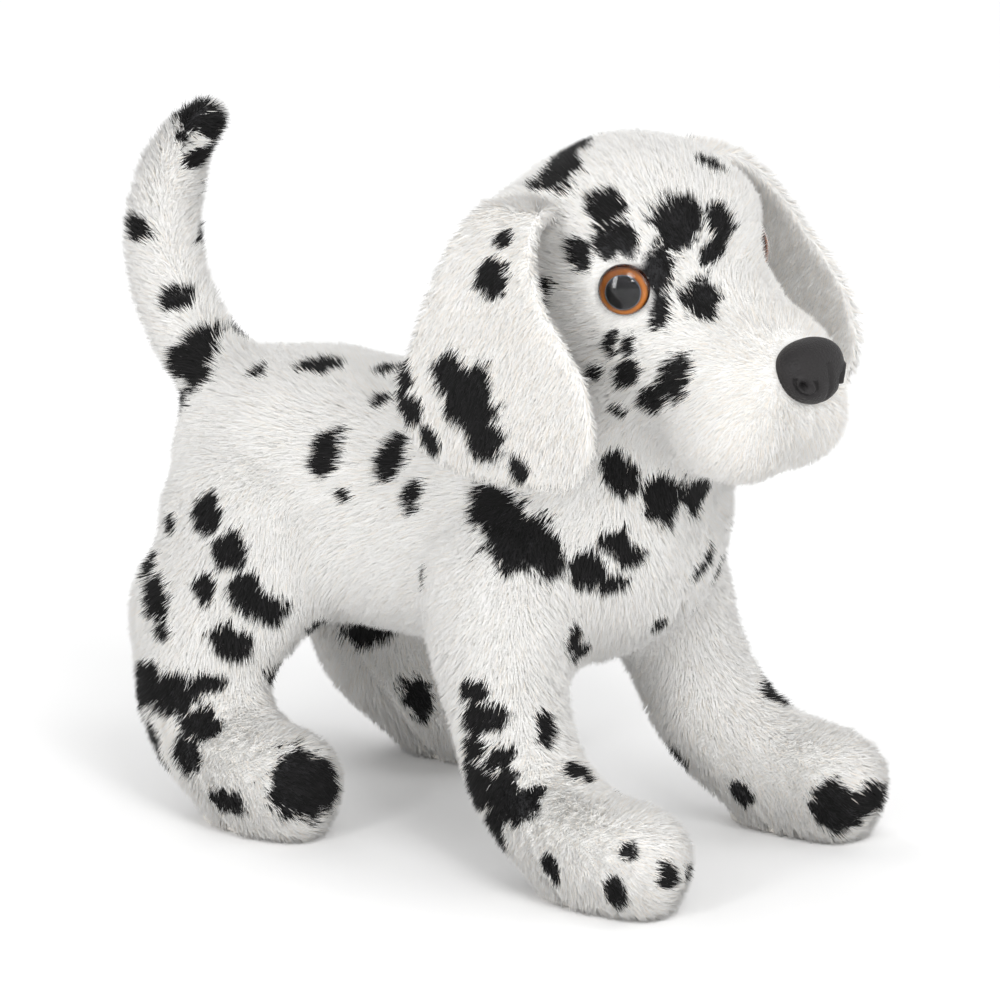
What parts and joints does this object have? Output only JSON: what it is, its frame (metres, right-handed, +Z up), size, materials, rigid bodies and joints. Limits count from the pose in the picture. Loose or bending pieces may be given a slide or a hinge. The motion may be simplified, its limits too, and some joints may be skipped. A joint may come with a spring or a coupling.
{
  "type": "plush dog",
  "caption": "Standing stuffed puppy in white pile with black spots: head turns, ears lift, tail wags and legs swing a little; rests on its paw soles.",
  "frame": {"origin": "middle of the footprint box, on the floor under the paw soles", "axes": "+Z up, -Y the way the dog faces, +X the dog's left"},
  "size_m": [0.1942, 0.3713, 0.3108],
  "materials": {
    "pile": "matte",
    "lining": "matte",
    "sole": "matte",
    "stuffing": "matte",
    "eye_clear": "gloss",
    "eye_amber": "gloss",
    "nose": "matte",
    "washer": "matte"
  },
  "bodies": {
    "torso": {"torso_skin": "pile", "torso_stuffing": "stuffing"},
    "head": {"head_skin": "pile", "head_stuffing": "stuffing", "eye_left_dome": "eye_clear", "eye_left_iris": "eye_amber", "eye_left_washer": "washer", "eye_right_dome": "eye_clear", "eye_right_iris": "eye_amber", "eye_right_washer": "washer", "nose": "nose", "nose_washer": "washer"},
    "ear_left": {"ear_left_outer": "pile", "ear_left_lining": "lining"},
    "ear_right": {"ear_right_outer": "pile", "ear_right_lining": "lining"},
    "tail": {"tail_skin": "pile", "tail_stuffing": "stuffing"},
    "leg_front_left": {"leg_front_left_skin": "pile", "leg_front_left_stuffing": "stuffing", "leg_front_left_sole": "sole"},
    "leg_front_right": {"leg_front_right_skin": "pile", "leg_front_right_stuffing": "stuffing", "leg_front_right_sole": "sole"},
    "leg_hind_left": {"leg_hind_left_skin": "pile", "leg_hind_left_stuffing": "stuffing", "leg_hind_left_sole": "sole"},
    "leg_hind_right": {"leg_hind_right_skin": "pile", "leg_hind_right_stuffing": "stuffing", "leg_hind_right_sole": "sole"}
  },
  "joints": [
    {"name": "neck_turn", "type": "hinge", "parent": "torso", "child": "head", "pos_m": [0, -0.072, 0.196], "axis": [0, 0, 1], "range_deg": [-20, 20], "stiffness_Nm_per_rad": 0.8},
    {"name": "tail_wag", "type": "hinge", "parent": "torso", "child": "tail", "pos_m": [0, 0.128, 0.165], "axis": [0, 0, 1], "range_deg": [-20, 20], "stiffness_Nm_per_rad": 0.25},
    {"name": "ear_left_lift", "type": "hinge", "parent": "head", "child": "ear_left", "pos_m": [0.047, -0.07, 0.284], "axis": [0, -1, 0], "range_deg": [0, 60]},
    {"name": "ear_right_lift", "type": "hinge", "parent": "head", "child": "ear_right", "pos_m": [-0.047, -0.07, 0.284], "axis": [0, 1, 0], "range_deg": [0, 60]},
    {"name": "leg_front_left_swing", "type": "hinge", "parent": "torso", "child": "leg_front_left", "pos_m": [0.05, -0.05, 0.125], "axis": [1, 0, 0], "range_deg": [-12, 12], "stiffness_Nm_per_rad": 5},
    {"name": "leg_front_right_swing", "type": "hinge", "parent": "torso", "child": "leg_front_right", "pos_m": [-0.05, -0.05, 0.125], "axis": [1, 0, 0], "range_deg": [-12, 12], "stiffness_Nm_per_rad": 5},
    {"name": "leg_hind_left_swing", "type": "hinge", "parent": "torso", "child": "leg_hind_left", "pos_m": [0.05, 0.08, 0.13], "axis": [1, 0, 0], "range_deg": [-12, 12], "stiffness_Nm_per_rad": 5},
    {"name": "leg_hind_right_swing", "type": "hinge", "parent": "torso", "child": "leg_hind_right", "pos_m": [-0.05, 0.08, 0.13], "axis": [1, 0, 0], "range_deg": [-12, 12], "stiffness_Nm_per_rad": 5}
  ]
}
